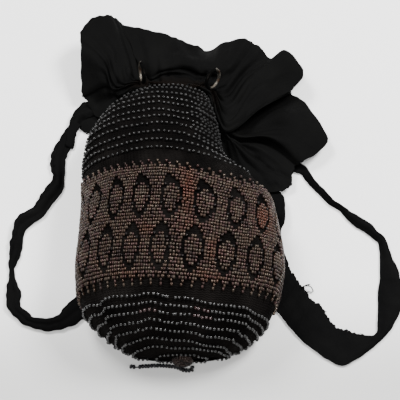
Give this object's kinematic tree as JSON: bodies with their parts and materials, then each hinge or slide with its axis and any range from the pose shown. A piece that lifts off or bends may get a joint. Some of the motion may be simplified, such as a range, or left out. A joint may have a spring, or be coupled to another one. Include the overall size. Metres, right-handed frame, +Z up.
{
  "type": "reticule",
  "caption": "Black beaded knit drawstring reticule lying on its back, with a gathered silk top, ribbon strap loops, small rings and a bead knob with a bead string.",
  "frame": {"origin": "middle of the lying outline, on the table", "axes": "+Z up from the table, +Y from the foot of the bag towards its mouth, +X to the bag's right as seen from its foot"},
  "size_m": [0.2396, 0.2592, 0.0469],
  "materials": {
    "knit": "black knitted thread carrying rows of lustrous seed beads",
    "silk": "soft black silk with a low sheen",
    "ribbon": "black ribbon, matt, frayed at one edge",
    "ring_metal": "tarnished and spotted with rust",
    "bronze_bead": "bronze lustre",
    "black_bead": "polished opaque black"
  },
  "bodies": {
    "root": {"beaded_body": "knit", "silk_top": "silk", "strap_left": "ribbon", "strap_right": "ribbon", "ring_left": "ring_metal", "ring_right": "ring_metal", "tassel_knob": "bronze_bead", "bead_strand": "black_bead"}
  },
  "joints": []
}
